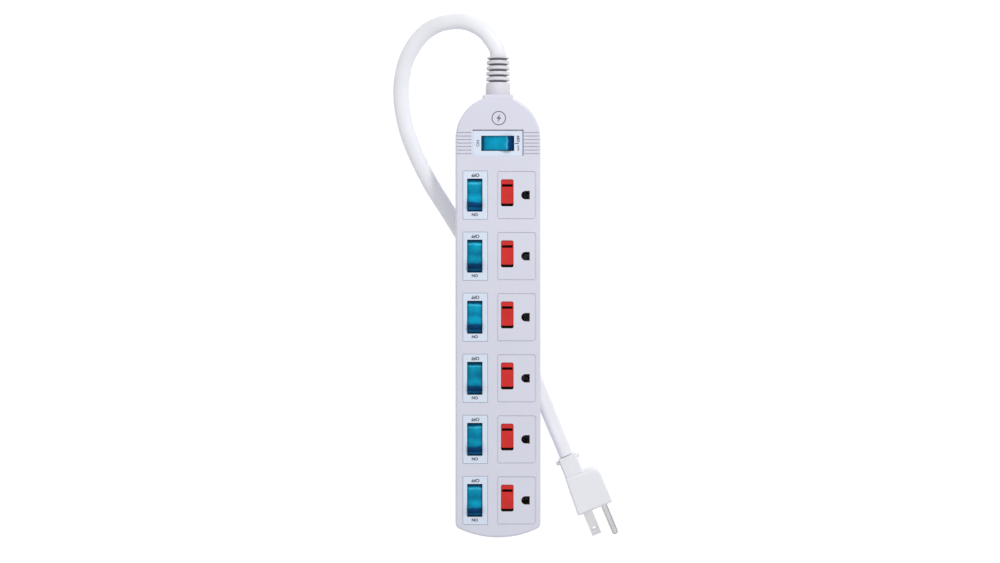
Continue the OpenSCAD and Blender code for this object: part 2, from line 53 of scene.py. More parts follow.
TOP_LOW, TOP_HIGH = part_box("top_shell")
FACE_Z = TOP_HIGH.z
PART_Z = TOP_LOW.z
BASE_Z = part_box("bottom_shell")[0].z
HALF_W = TOP_HIGH.x
HALF_L = TOP_HIGH.y
ROWS = 6
ROCKER_X = -15.2 * MM
PITCH = 40 * MM
ROW_Y = [79.2 * MM - PITCH * i for i in range(ROWS)]
MAIN_X = -0.2 * MM
MAIN_Y = 113.2 * MM
WALL = 2.2 * MM


# ---------------------------------------------------------------- camera, light and floor

CAMERA_HEIGHT = 1.2
VIEW_WIDTH = 0.655
VIEW_CENTRE = (1.3 * MM, 22.6 * MM)
FLOOR_HALF = 6


def make_camera():
    data = bpy.data.cameras.new("camera")
    cam = bpy.data.objects.new("camera", data)
    bpy.context.collection.objects.link(cam)
    data.sensor_width = 36
    data.lens = data.sensor_width * CAMERA_HEIGHT / VIEW_WIDTH
    data.clip_end = 20
    cam.location = (*VIEW_CENTRE, FACE_Z + CAMERA_HEIGHT)
    bpy.context.scene.camera = cam


def area_light(name, place, target, size, power, colour):
    data = bpy.data.lights.new(name, "AREA")
    data.shape = "DISK"
    data.size = size
    data.energy = power
    data.color = colour
    lamp = bpy.data.objects.new(name, data)
    bpy.context.collection.objects.link(lamp)
    lamp.location = place
    lamp.rotation_euler = (Vector(target) - Vector(place)).to_track_quat("-Z", "Y").to_euler()


def make_studio():
    scene = bpy.context.scene
    scene.view_settings.view_transform = "Standard"
    world = bpy.data.worlds.new("studio")
    scene.world = world
    world.use_nodes = True
    tree = world.node_tree
    sky = tree.nodes["Background"]
    place = tree.nodes.new("ShaderNodeTexCoord")
    split = tree.nodes.new("ShaderNodeSeparateXYZ")
    ramp = tree.nodes.new("ShaderNodeValToRGB")
    tree.links.new(place.outputs["Generated"], split.inputs["Vector"])
    tree.links.new(split.outputs["Z"], ramp.inputs["Fac"])
    tree.links.new(ramp.outputs["Color"], sky.inputs["Color"])
    ramp.color_ramp.elements[0].position = 0.10
    ramp.color_ramp.elements[0].color = (0.10, 0.10, 0.115, 1)
    ramp.color_ramp.elements[1].position = 0.55
    ramp.color_ramp.elements[1].color = (0.97, 0.98, 1.0, 1)
    sky.inputs["Strength"].default_value = 0.86
    area_light("key", (0.42, 0.78, 0.85), (0, 0.08, 0), 0.13, 5.4, (1.0, 0.99, 0.97))
    mesh = bpy.data.meshes.new("floor")
    corners = [(x * FLOOR_HALF, y * FLOOR_HALF, 0) for x, y in ((-1, -1), (1, -1), (1, 1), (-1, 1))]
    mesh.from_pydata(corners, [], [(0, 1, 2, 3)])
    floor = bpy.data.objects.new("floor", mesh)
    bpy.context.collection.objects.link(floor)
    mat = bpy.data.materials.new("floor_white")
    mat.use_nodes = True
    shader = mat.node_tree.nodes["Principled BSDF"]
    shader.inputs["Base Color"].default_value = (0.30, 0.30, 0.305, 1)
    shader.inputs["Roughness"].default_value = 0.9
    shader.inputs["Specular IOR Level"].default_value = 0.1
    shader.inputs["Emission Color"].default_value = (1, 1, 1, 1)
    shader.inputs["Emission Strength"].default_value = 0.85
    mesh.materials.append(mat)


make_camera()
make_studio()


# ---------------------------------------------------------------- materials

MATERIALS = {}


def material(name, colour, rough, spread=0.03, blotch=60, grain=1800, bump=0.00003, metallic=0.0,
             specular=0.5, stretch=(1, 1, 1), transmission=0.0, subsurface=0.0, spots=0.0):
    """Procedural finish: two close colours mixed by broad noise, a fine grain in the roughness and a
    moulded or brushed relief."""
    mat = bpy.data.materials.new(name)
    mat.use_nodes = True
    tree = mat.node_tree
    shader = tree.nodes["Principled BSDF"]
    shader.inputs["Metallic"].default_value = metallic
    shader.inputs["Specular IOR Level"].default_value = specular
    shader.inputs["Transmission Weight"].default_value = transmission
    shader.inputs["Subsurface Weight"].default_value = subsurface
    shader.inputs["Subsurface Radius"].default_value = (0.002, 0.0018, 0.0016)
    place = tree.nodes.new("ShaderNodeTexCoord")
    mapping = tree.nodes.new("ShaderNodeMapping")
    mapping.inputs["Scale"].default_value = stretch
    tree.links.new(place.outputs["Object"], mapping.inputs["Vector"])

    def noise(scale, detail):
        node = tree.nodes.new("ShaderNodeTexNoise")
        node.inputs["Scale"].default_value = scale
        node.inputs["Detail"].default_value = detail
        tree.links.new(mapping.outputs["Vector"], node.inputs["Vector"])
        return node.outputs["Fac"]

    ramp = tree.nodes.new("ShaderNodeValToRGB")
    light = [min(1, c * (1 + spread)) for c in colour]
    dark = [c * (1 - spread) for c in colour]
    ramp.color_ramp.elements[0].position = 0.35
    ramp.color_ramp.elements[0].color = (*dark, 1)
    ramp.color_ramp.elements[1].position = 0.65
    ramp.color_ramp.elements[1].color = (*light, 1)
    tree.links.new(noise(blotch, 3), ramp.inputs["Fac"])
    tree.links.new(ramp.outputs["Color"], shader.inputs["Base Color"])
    if spots:
        dust = tree.nodes.new("ShaderNodeMapRange")
        dust.inputs["From Min"].default_value = 0.66
        dust.inputs["From Max"].default_value = 0.74
        dust.inputs["To Max"].default_value = spots
        tree.links.new(noise(grain * 0.35, 2), dust.inputs["Value"])
        mix = tree.nodes.new("ShaderNodeMix")
        mix.data_type = "RGBA"
        mix.inputs["B"].default_value = (*[c * 0.6 for c in colour], 1)
        tree.links.new(dust.outputs["Result"], mix.inputs["Factor"])
        tree.links.new(ramp.outputs["Color"], mix.inputs["A"])
        tree.links.new(mix.outputs["Result"], shader.inputs["Base Color"])
    gloss = tree.nodes.new("ShaderNodeMapRange")
    gloss.inputs["To Min"].default_value = max(0.02, rough - 0.06)
    gloss.inputs["To Max"].default_value = min(1, rough + 0.08)
    tree.links.new(noise(grain * 0.4, 4), gloss.inputs["Value"])
    tree.links.new(gloss.outputs["Result"], shader.inputs["Roughness"])
    relief = tree.nodes.new("ShaderNodeBump")
    relief.inputs["Strength"].default_value = 0.35
    relief.inputs["Distance"].default_value = bump
    tree.links.new(noise(grain, 5), relief.inputs["Height"])
    tree.links.new(relief.outputs["Normal"], shader.inputs["Normal"])
    MATERIALS[name] = mat
    return mat


def darken(mat, factor):
    """Multiply the material's base colour by a grey value from another node."""
    tree = mat.node_tree
    base = tree.nodes["Principled BSDF"].inputs["Base Color"]
    mix = tree.nodes.new("ShaderNodeMix")
    mix.data_type = "RGBA"
    mix.blend_type = "MULTIPLY"
    mix.inputs["Factor"].default_value = 1.0
    first, second = (socket for socket in mix.inputs if socket.type == "RGBA")
    result = next(socket for socket in mix.outputs if socket.type == "RGBA")
    tree.links.new(base.links[0].from_socket, first)
    tree.links.new(factor, second)
    tree.links.new(result, base)


material("casing_plastic", (0.668, 0.668, 0.762), 0.34, spread=0.015, blotch=25, grain=2600, bump=0.00002,
         subsurface=0.05)
material("panel_plastic", (0.670, 0.740, 0.860), 0.28, spread=0.012, blotch=40, grain=2600, bump=0.00001,
         subsurface=0.05)
# Colour stops along the six rockers: blue with painted shade at both ends and a painted highlight band near the
# upper, pressed end.
ROCKER_LIGHT_SHADE_BANDS = [
    (0.00, (0.002, 0.110, 0.260)), (0.07, (0.002, 0.130, 0.290)), (0.13, (0.001, 0.035, 0.120)),
    (0.24, (0.001, 0.050, 0.150)), (0.31, (0.002, 0.240, 0.420)), (0.42, (0.003, 0.330, 0.510)),
    (0.58, (0.002, 0.200, 0.360)), (0.75, (0.003, 0.290, 0.460)), (0.83, (0.003, 0.330, 0.510)),
    (0.87, (0.060, 0.520, 0.740)), (0.90, (0.010, 0.300, 0.460)), (0.925, (0.003, 0.090, 0.180)),
    (1.00, (0.002, 0.110, 0.210))]
# Colour stops along the main rocker: painted shade at both ends and a painted highlight band near one end.
MAIN_LIGHT_SHADE_BANDS = [
    (0.00, (0.002, 0.050, 0.140)), (0.05, (0.001, 0.030, 0.110)), (0.16, (0.001, 0.045, 0.150)),
    (0.19, (0.020, 0.220, 0.420)), (0.215, (0.070, 0.420, 0.620)), (0.25, (0.004, 0.280, 0.460)),
    (0.45, (0.003, 0.340, 0.530)), (0.70, (0.003, 0.300, 0.500)), (0.85, (0.002, 0.260, 0.440)),
    (0.93, (0.002, 0.140, 0.260)), (1.00, (0.002, 0.090, 0.170))]


def rocker_material(name, bands, along, across, flip):
    """Clear blue moulding with painted light and shade: bands along the rocker paint shade at its ends and a
    highlight band near one end, painted shade darkens the two long sides, and clouds that differ from one
    rocker to the next vary the tone."""
    mat = material(name, (0.0, 0.2, 0.4), 0.22, grain=900, bump=0.00001, specular=0.05)
    tree = mat.node_tree
    place = tree.nodes.new("ShaderNodeTexCoord")
    split = tree.nodes.new("ShaderNodeSeparateXYZ")
    tree.links.new(place.outputs["Generated"], split.inputs["Vector"])

    def calc(kind, first, second):
        node = tree.nodes.new("ShaderNodeMath")
        node.operation = kind
        for socket, value in zip(node.inputs, (first, second)):
            if isinstance(value, (int, float)):
                socket.default_value = value
            else:
                tree.links.new(value, socket)
        return node.outputs["Value"]

    def cloud(scale, low, high):
        node = tree.nodes.new("ShaderNodeTexNoise")
        node.inputs["Scale"].default_value = scale
        node.inputs["Detail"].default_value = 2
        tree.links.new(place.outputs["Object"], node.inputs["Vector"])
        span = tree.nodes.new("ShaderNodeMapRange")
        span.inputs["From Min"].default_value = 0.3
        span.inputs["From Max"].default_value = 0.7
        span.inputs["To Min"].default_value = low
        span.inputs["To Max"].default_value = high
        tree.links.new(node.outputs["Fac"], span.inputs["Value"])
        return span.outputs["Result"]

    run = split.outputs[along]
    if flip:
        run = calc("SUBTRACT", 1.0, run)
    run = calc("ADD", run, cloud(230, -0.02, 0.02))
    ramp = tree.nodes.new("ShaderNodeValToRGB")
    stops = ramp.color_ramp.elements
    while len(stops) < len(bands):
        stops.new(0.5)
    for stop, (position, colour) in zip(stops, bands):
        stop.position = position
        stop.color = (*colour, 1)
    tree.links.new(run, ramp.inputs["Fac"])
    # painted shade, darker towards the two long sides
    side = calc("ABSOLUTE", calc("SUBTRACT", split.outputs[across], 0.5), 0.0)
    side = calc("POWER", calc("MULTIPLY", side, 2.5), 5.0)
    side = calc("SUBTRACT", 1.0, calc("MULTIPLY", side, 0.6))
    side_shade_and_clouds = calc("MULTIPLY", calc("MULTIPLY", side, cloud(26, 0.75, 1.2)), cloud(260, 0.85, 1.12))
    tree.links.new(ramp.outputs["Color"], tree.nodes["Principled BSDF"].inputs["Base Color"])
    darken(mat, side_shade_and_clouds)


rocker_material("rocker_plastic", ROCKER_LIGHT_SHADE_BANDS, "Y", "X", False)
rocker_material("rocker_plastic_main", MAIN_LIGHT_SHADE_BANDS, "X", "Y", True)
material("shutter_plastic", (0.610, 0.026, 0.022), 0.30, spread=0.07, blotch=120, grain=2200, bump=0.00002,
         specular=0.2)
material("relief_rubber", (0.670, 0.660, 0.705), 0.50, spread=0.03, blotch=90, grain=2400, bump=0.00005)


def paint_groove_shade(mat, axis_z, low, high, deepest_shade):
    """Painted shade in the grooves of a turned piece: darker the nearer it lies to an axis along Y at height
    axis_z.
    """
    tree = mat.node_tree
    place = tree.nodes.new("ShaderNodeTexCoord")
    shift = tree.nodes.new("ShaderNodeVectorMath")
    shift.operation = "SUBTRACT"
    shift.inputs[1].default_value = (0, 0, axis_z)
    flat = tree.nodes.new("ShaderNodeVectorMath")
    flat.operation = "MULTIPLY"
    flat.inputs[1].default_value = (1, 0, 1)
    size = tree.nodes.new("ShaderNodeVectorMath")
    size.operation = "LENGTH"
    span = tree.nodes.new("ShaderNodeMapRange")
    span.inputs["From Min"].default_value = low
    span.inputs["From Max"].default_value = high
    span.inputs["To Min"].default_value = deepest_shade
    tree.links.new(place.outputs["Object"], shift.inputs[0])
    tree.links.new(shift.outputs["Vector"], flat.inputs[0])
    tree.links.new(flat.outputs["Vector"], size.inputs[0])
    tree.links.new(size.outputs["Value"], span.inputs["Value"])
    darken(mat, span.outputs["Result"])


# painted shade on the groove floors of the strain relief
paint_groove_shade(MATERIALS["relief_rubber"], PART_Z, 6.0 * MM, 7.0 * MM, 0.30)
material("cord_rubber", (0.805, 0.810, 0.850), 0.42, spread=0.02, blotch=50, grain=1500, bump=0.00006,
         subsurface=0.08)
material("plug_rubber", (0.795, 0.803, 0.835), 0.42, spread=0.02, blotch=60, grain=1900, bump=0.00006,
         subsurface=0.08)
material("blade_metal", (0.760, 0.745, 0.760), 0.16, spread=0.06, blotch=160, grain=1600, bump=0.00002,
         metallic=1.0, stretch=(1, 0.25, 1), spots=0.25)
material("screw_steel", (0.520, 0.520, 0.530), 0.30, spread=0.08, blotch=300, grain=2500, bump=0.00003,
         metallic=1.0, spots=0.3)
material("foot_rubber", (0.028, 0.028, 0.030), 0.68, spread=0.20, blotch=150, grain=2200, bump=0.00010)
material("carrier_plastic", (0.020, 0.015, 0.016), 0.50, spread=0.25, blotch=200, grain=2400, bump=0.00005)
# The brass colour is painted shade: far darker than brass, so the clips in the ground holes look dark.
material("contact_brass", (0.200, 0.125, 0.052), 0.58, spread=0.10, blotch=220, grain=2200, bump=0.00003,
         metallic=1.0, spots=0.35)
material("spring_steel", (0.560, 0.550, 0.540), 0.28, spread=0.10, blotch=300, grain=2500, bump=0.00003,
         metallic=1.0)
material("lamp_glass", (0.850, 0.480, 0.330), 0.06, spread=0.10, blotch=400, grain=1200, bump=0.00001,
         transmission=0.7)
material("wire_black", (0.022, 0.022, 0.024), 0.45, spread=0.20, blotch=150, grain=1800, bump=0.00005)
material("board_plastic", (0.020, 0.150, 0.050), 0.35, spread=0.15, blotch=250, grain=3000, bump=0.00004)
material("varistor_coat", (0.020, 0.080, 0.330), 0.22, spread=0.12, blotch=300, grain=1500, bump=0.00008)
material("print_grey", (0.030, 0.030, 0.042), 0.45, spread=0.15, blotch=500, grain=3000, bump=0.00001)
material("print_light", (0.220, 0.220, 0.270), 0.45, spread=0.10, blotch=500, grain=3000, bump=0.00001)
material("print_mid", (0.120, 0.120, 0.145), 0.45, spread=0.12, blotch=500, grain=3000, bump=0.00001)


# ---------------------------------------------------------------- mesh helpers

def finish_mesh(obj, smooth_angle=35):
    mesh = obj.data
    mesh.shade_smooth()
    mesh.set_sharp_from_angle(angle=math.radians(smooth_angle))


def new_object(name, bm, mat):
    bmesh.ops.recalc_face_normals(bm, faces=bm.faces)
    mesh = bpy.data.meshes.new(name)
    bm.to_mesh(mesh)
    bm.free()
    obj = bpy.data.objects.new(name, mesh)
    bpy.context.collection.objects.link(obj)
    mesh.materials.append(MATERIALS[mat])
    return obj


def apply_modifiers(obj):
    graph = bpy.context.evaluated_depsgraph_get()
    mesh = bpy.data.meshes.new_from_object(obj.evaluated_get(graph))
    obj.modifiers.clear()
    obj.data = mesh


def boolean(obj, cutter_bm, operation="DIFFERENCE", overlaps=False):
    bmesh.ops.recalc_face_normals(cutter_bm, faces=cutter_bm.faces)
    mesh = bpy.data.meshes.new("cutter")
    cutter_bm.to_mesh(mesh)
    cutter_bm.free()
    cutter = bpy.data.objects.new("cutter", mesh)
    bpy.context.collection.objects.link(cutter)
    mod = obj.modifiers.new("cut", "BOOLEAN")
    mod.operation = operation
    mod.solver = "EXACT"
    mod.use_self = overlaps
    mod.object = cutter
    apply_modifiers(obj)
    bpy.data.objects.remove(cutter)


def soften(obj, width, segments=2, angle=30):
    """Small rounded edges wherever two faces meet at a real angle."""
    mod = obj.modifiers.new("rounded_edges", "BEVEL")
    mod.width = width
    mod.segments = segments
    mod.limit_method = "ANGLE"
    mod.angle_limit = math.radians(angle)
    mod.miter_outer = "MITER_ARC"


def clean_up(obj):
    """Merge the near-duplicate points that bevels leave and cut all faces into triangles."""
    bm = bmesh.new()
    bm.from_mesh(obj.data)
    bmesh.ops.remove_doubles(bm, verts=bm.verts, dist=0.004 * MM)
    bmesh.ops.dissolve_degenerate(bm, edges=bm.edges, dist=0.004 * MM)
    bmesh.ops.triangulate(bm, faces=bm.faces)
    bm.to_mesh(obj.data)
    bm.free()


def weigh_normals(obj):
    """Keep broad flat faces flat in shading beside their rounded edges."""
    mod = obj.modifiers.new("flat_shading", "WEIGHTED_NORMAL")
    mod.keep_sharp = True
    mod.weight = 90
    apply_modifiers(obj)


def prism(bm, points, z0, z1):
    low = [bm.verts.new((x, y, z0)) for x, y in points]
    high = [bm.verts.new((x, y, z1)) for x, y in points]
    bm.faces.new(low[::-1])
    bm.faces.new(high)
    n = len(points)
    for k in range(n):
        bm.faces.new((low[k], low[(k + 1) % n], high[(k + 1) % n], high[k]))


def arc(cx, cy, r, a0, a1, n):
    """n + 1 points of an arc, angles in degrees."""
    return [(cx + r * math.cos(math.radians(a0 + (a1 - a0) * k / n)),
             cy + r * math.sin(math.radians(a0 + (a1 - a0) * k / n))) for k in range(n + 1)]


def rounded_rect(x0, y0, x1, y1, r, n=6):
    r = max(r, 1e-6)
    return (arc(x1 - r, y0 + r, r, -90, 0, n) + arc(x1 - r, y1 - r, r, 0, 90, n)
            + arc(x0 + r, y1 - r, r, 90, 180, n) + arc(x0 + r, y0 + r, r, 180, 270, n))


def circle_points(cx, cy, r, n=40):
    return arc(cx, cy, r, 0, 360 * (n - 1) / n, n - 1)


def loft(bm, rings, close=True):
    """Skin over rings of points that match one to one, capped at both ends."""
    rows = [[bm.verts.new(p) for p in ring] for ring in rings]
    n = len(rows[0])
    for a, b in zip(rows, rows[1:]):
        for k in range(n):
            bm.faces.new((a[k], a[(k + 1) % n], b[(k + 1) % n], b[k]))
    if close:
        bm.faces.new(rows[0][::-1])
        bm.faces.new(rows[-1])
    return rows


# ---------------------------------------------------------------- cord

CORD_W = 10.6 * MM
CORD_T = 7.4 * MM
CORD_ROUTE = [
    (0, 0.1713, 0.025), (0, 0.1735, 0.025), (-0.0009, 0.1771, 0.025), (-0.004, 0.1822, 0.0246),
    (-0.0096, 0.1889, 0.0235),
    (-0.0183, 0.1941, 0.0215), (-0.0274, 0.1959, 0.019), (-0.0386, 0.1946, 0.016), (-0.048, 0.1901, 0.013),
    (-0.056, 0.1819, 0.0102), (-0.0618, 0.171, 0.0076), (-0.0648, 0.1585, 0.0056), (-0.0654, 0.1484, 0.0045),
    (-0.0645, 0.1383, 0.004), (-0.0617, 0.125, 0.0038), (-0.057, 0.112, 0.0038), (-0.0511, 0.099, 0.0038),
    (-0.0442, 0.0862, 0.0038), (-0.0365, 0.074, 0.0038), (-0.0283, 0.061, 0.0038), (-0.0196, 0.046, 0.0038),
    (-0.01, 0.0283, 0.0039), (0, 0.009, 0.0041), (0.01, -0.0115, 0.0044), (0.02, -0.033, 0.0049),
    (0.0287, -0.053, 0.0056), (0.0364, -0.0715, 0.008), (0.0414, -0.0835, 0.0104), (0.0458, -0.0942, 0.0115)]
CORD_TURN = [0] * 22 + [4, 12, 22, 31, 38, 44, 48]


def spline(points, t):
    i = min(int(t), len(points) - 2)
    u = t - i
    a, b = points[max(i - 1, 0)], points[i]
    c, d = points[i + 1], points[min(i + 2, len(points) - 1)]
    return 0.5 * (2 * b + (c - a) * u + (2 * a - 5 * b + 4 * c - d) * u * u + (3 * b - a - 3 * c + d) * u ** 3)


def sweep(bm, route, turns, width, thick, sides, rings, power=1.0):
    """Oval tube along route; power below 1 squares the oval off a little."""
    pts = [Vector(p) for p in route]
    last = len(pts) - 1
    rows = []
    path = []
    for j in range(rings):
        t = last * j / (rings - 1)
        centre = spline(pts, t)
        ahead = (spline(pts, min(t + 0.02, last)) - spline(pts, max(t - 0.02, 0))).normalized()
        side = ahead.cross(Vector((0, 0, 1))).normalized()
        up = side.cross(ahead)
        q = math.radians(spline(turns, t))
        ring = []
        for k in range(sides):
            a = 2 * math.pi * k / sides
            c, s = math.cos(a), math.sin(a)
            x = width / 2 * math.copysign(abs(c) ** power, c)
            y = thick / 2 * math.copysign(abs(s) ** power, s)
            ring.append(centre + side * (x * math.cos(q) - y * math.sin(q))
                        + up * (x * math.sin(q) + y * math.cos(q)))
        rows.append(ring)
        path.append(centre)
    loft(bm, rows)
    return path


def make_cord():
    bm = bmesh.new()
    path = sweep(bm, CORD_ROUTE, CORD_TURN, CORD_W, CORD_T, 28, 190, power=0.92)
    cord = new_object("cord", bm, "cord_rubber")
    finish_mesh(cord, 60)
    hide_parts("power_cord")
    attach(cord, "housing")
    return cord, path


CORD, CORD_PATH = make_cord()


# ---------------------------------------------------------------- housing skins

DOME_Y = 116.5 * MM
ARC_R = 60 * MM
ARC_Y = -HALF_L + ARC_R
CORNER_R = 4 * MM
CORNER_X = HALF_W - CORNER_R
CORNER_Y = ARC_Y - math.sqrt((ARC_R - CORNER_R) ** 2 - CORNER_X ** 2)
NECK_HALF = 10.1 * MM
NECK_R = 1.3 * MM
SHELL_EDGE = 0.22 * MM
SEAM = 0.3 * MM
BORE_R = 1.52 * MM
FILLET = 1.2 * MM


def outline(d):
    """Housing outline shrunk by d, anticlockwise from the lower right corner."""
    fx = NECK_HALF + FILLET
    fy = DOME_Y + math.sqrt((HALF_W + FILLET) ** 2 - fx ** 2)
    dome_end = math.degrees(math.atan2(fy - DOME_Y, fx))
    corner_a = math.degrees(math.atan2(CORNER_Y - ARC_Y, CORNER_X))
    right = arc(CORNER_X, CORNER_Y, CORNER_R - d, corner_a, 0, 8)
    right += arc(0, DOME_Y, HALF_W - d, 0, dome_end, 34)
    right += arc(fx, fy, FILLET + d, dome_end + 180, 180, 5)
    neck_r = max(NECK_R - d, 0.05 * MM)
    right += arc(NECK_HALF - d - neck_r, HALF_L - d - neck_r, neck_r, 0, 90, 6)
    left = [(-x, y) for x, y in reversed(right)]
    foot = arc(0, ARC_Y, ARC_R - d, -180 - corner_a, corner_a, 28)[1:-1]
    return right + left + foot


def ring_at(d, z):
    return [(x, y, z) for x, y in outline(d)]


def quarter(z_edge, direction, r, steps=7):
    """Rings of a rounded edge whose face is at z_edge; direction is +1 for a top edge."""
    return [ring_at(r * (1 - math.cos(a)), z_edge - direction * r * (1 - math.sin(a)))
            for a in (math.pi / 2 * k / steps for k in range(steps + 1))]


# casing screws and feet, in millimetres
SCREWS = [(-21.5, 99.5), (21.5, 99.5), (-4.8, 59.2), (-4.8, -20.8), (-4.8, -100.8), (0, -138.5)]
FEET = [(-17, 117), (17, 117), (-17, -124), (17, -124)]
GROUND_X = 18.0 * MM
WINDOW_X = 6.05 * MM


def d_hole(cx, cy, half):
    return arc(cx, cy, half, 90, 270, 16) + [(cx + half, cy - half), (cx + half, cy + half)]


def box_points(cx, cy, lx, ly, r=0.0, n=4):
    if r <= 0:
        return [(cx - lx / 2, cy - ly / 2), (cx + lx / 2, cy - ly / 2), (cx + lx / 2, cy + ly / 2),
                (cx - lx / 2, cy + ly / 2)]
    return rounded_rect(cx - lx / 2, cy - ly / 2, cx + lx / 2, cy + ly / 2, r, n)


def neck_cutter():
    bm = bmesh.new()
    rings = []
    for y in (HALF_L - WALL - 3 * MM, HALF_L + 1 * MM):
        rings.append([(6 * MM * math.cos(a), y, PART_Z + 6 * MM * math.sin(a))
                      for a in (2 * math.pi * k / 48 for k in range(48))])
    loft(bm, rings)
    return bm


def make_top_shell():
    bm = bmesh.new()
    rings = [ring_at(WALL, FACE_Z - WALL), ring_at(WALL, PART_Z), ring_at(SEAM, PART_Z), ring_at(0, PART_Z + SEAM)]
    rings += quarter(FACE_Z, 1, 1.7 * MM)
    loft(bm, rings)
    shell = new_object("top_shell_skin", bm, "casing_plastic")
    # posts for the casing screws and the thicker wall round the main switch
    bm = bmesh.new()
    for x, y in SCREWS:
        prism(bm, circle_points(x * MM, y * MM, 3 * MM), PART_Z, FACE_Z - WALL / 2)
    prism(bm, box_points(MAIN_X, MAIN_Y, 35.6 * MM, 19.6 * MM), FACE_Z - 4 * MM, FACE_Z - WALL / 2)
    boolean(shell, bm, "UNION", True)
    # openings that go right through
    bm = bmesh.new()
    for y in ROW_Y:
        prism(bm, box_points(ROCKER_X, y, 12.7 * MM, 24.3 * MM), PART_Z, FACE_Z + 5 * MM)
        prism(bm, rounded_rect(WINDOW_X - 4.15 * MM, y - 7.35 * MM, WINDOW_X + 4.15 * MM, y + 10.35 * MM,
                               1.2 * MM), PART_Z, FACE_Z + 5 * MM)
        prism(bm, d_hole(GROUND_X, y, 2.8 * MM), PART_Z, FACE_Z + 5 * MM)
    prism(bm, box_points(MAIN_X, MAIN_Y, 24.3 * MM, 12.7 * MM), PART_Z, FACE_Z + 5 * MM)
    for x, y in SCREWS:
        prism(bm, circle_points(x * MM, y * MM, BORE_R, 24), PART_Z - 1 * MM, PART_Z + 9 * MM)
    boolean(shell, bm)
    # seats of the flanges, and the gap beside the main switch
    bm = bmesh.new()
    for y in ROW_Y:
        prism(bm, box_points(-14.9 * MM, y, 16.5 * MM, 31.9 * MM, 0.5 * MM), FACE_Z - 1 * MM, FACE_Z + 1 * MM)
    prism(bm, box_points(MAIN_X, MAIN_Y, 32.6 * MM, 16.6 * MM), FACE_Z - 2 * MM, FACE_Z + 1 * MM)
    prism(bm, box_points(MAIN_X + 0.1 * MM, MAIN_Y + 8.5 * MM, 32.8 * MM, 0.8 * MM), FACE_Z - 3.2 * MM,
          FACE_Z + 1.1 * MM)
    prism(bm, box_points(MAIN_X + 16.5 * MM, MAIN_Y + 0.3 * MM, 0.8 * MM, 17.2 * MM), FACE_Z - 3.2 * MM,
          FACE_Z + 1.2 * MM)
    boolean(shell, bm, "DIFFERENCE", True)
    boolean(shell, neck_cutter())
    soften(shell, SHELL_EDGE, 2, 40)
    apply_modifiers(shell)
    clean_up(shell)
    # the line round each outlet, and the grip grooves
    bm = bmesh.new()
    for j in range(7):
        for s in (-1, 1):
            prism(bm, box_points(MAIN_X + s * 27.4 * MM, MAIN_Y + (j - 3) * 2.3 * MM, 20 * MM, 0.8 * MM),
                  FACE_Z - 0.7 * MM, FACE_Z + 1 * MM)
    boolean(shell, bm)
    bm = bmesh.new()
    for y in ROW_Y:
        outer = rounded_rect(-0.5 * MM, y - 15.7 * MM, 24.7 * MM, y + 15.7 * MM, 1.5 * MM)
        inner = rounded_rect(0.0 * MM, y - 15.2 * MM, 24.2 * MM, y + 15.2 * MM, 1.0 * MM)
        groove_prism(bm, outer, inner, FACE_Z - 0.5 * MM, FACE_Z + 1 * MM)
    boolean(shell, bm)
    finish_mesh(shell, 30)
    weigh_normals(shell)
    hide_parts("top_shell")
    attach(shell, "housing")


def groove_prism(bm, outer, inner, z0, z1):
    rows = []
    for points, z in ((outer, z0), (outer, z1), (inner, z1), (inner, z0)):
        rows.append([bm.verts.new((x, y, z)) for x, y in points])
    n = len(outer)
    for a, b in zip(rows, rows[1:] + rows[:1]):
        for k in range(n):
            bm.faces.new((a[k], a[(k + 1) % n], b[(k + 1) % n], b[k]))


def make_bottom_shell():
    bm = bmesh.new()
    rings = [ring_at(WALL, BASE_Z + WALL), ring_at(WALL, PART_Z), ring_at(SEAM, PART_Z), ring_at(0, PART_Z - SEAM)]
    rings += quarter(BASE_Z, -1, 2.0 * MM)
    loft(bm, rings)
    shell = new_object("bottom_shell_skin", bm, "casing_plastic")
    bm = bmesh.new()
    for x, y in SCREWS:
        prism(bm, circle_points(x * MM, y * MM, 4 * MM), BASE_Z + 1 * MM, PART_Z)
    for x, y in FEET:
        prism(bm, circle_points(x * MM, y * MM, 4 * MM), BASE_Z + 1 * MM, BASE_Z + 5 * MM)
    for i in range(ROWS):
        y = ROW_Y[i] - PITCH / 2 if i < ROWS - 1 else -130 * MM
        prism(bm, box_points(17.8 * MM, y, 15 * MM, 2 * MM), BASE_Z + 1 * MM, 24 * MM)
    for y in (ROW_Y[0] + 6 * MM, ROW_Y[5] - 6 * MM):
        prism(bm, box_points(ROCKER_X, y, 7 * MM, 3 * MM), BASE_Z + 1 * MM, 16.2 * MM)
    boolean(shell, bm, "UNION", True)
    bm = bmesh.new()
    for x, y in SCREWS:
        prism(bm, circle_points(x * MM, y * MM, 3.2 * MM), BASE_Z - 1 * MM, BASE_Z + 8 * MM)
    for x, y in FEET:
        prism(bm, circle_points(x * MM, y * MM, BORE_R, 24), BASE_Z - 1 * MM, BASE_Z + 4.4 * MM)
    for s in (-1, 1):
        run = math.degrees(math.asin(2.2 / 4.2))
        points = arc(0, s * 40 * MM, 4.2 * MM, 90 + run, 450 - run, 40)
        points += arc(0, (s * 40 + 8) * MM, 2.2 * MM, 0, 180, 16)
        prism(bm, points, BASE_Z - 1 * MM, BASE_Z + WALL + 1 * MM)
    boolean(shell, bm)
    bm = bmesh.new()
    for x, y in SCREWS:
        prism(bm, circle_points(x * MM, y * MM, 1.7 * MM, 24), BASE_Z + 7 * MM, PART_Z + 1 * MM)
    boolean(shell, bm)
    boolean(shell, neck_cutter())
    soften(shell, SHELL_EDGE, 2, 40)
    apply_modifiers(shell)
    clean_up(shell)
    finish_mesh(shell, 30)
    weigh_normals(shell)
    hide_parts("bottom_shell")
    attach(shell, "housing")


make_top_shell()
make_bottom_shell()


# ---------------------------------------------------------------- strain relief

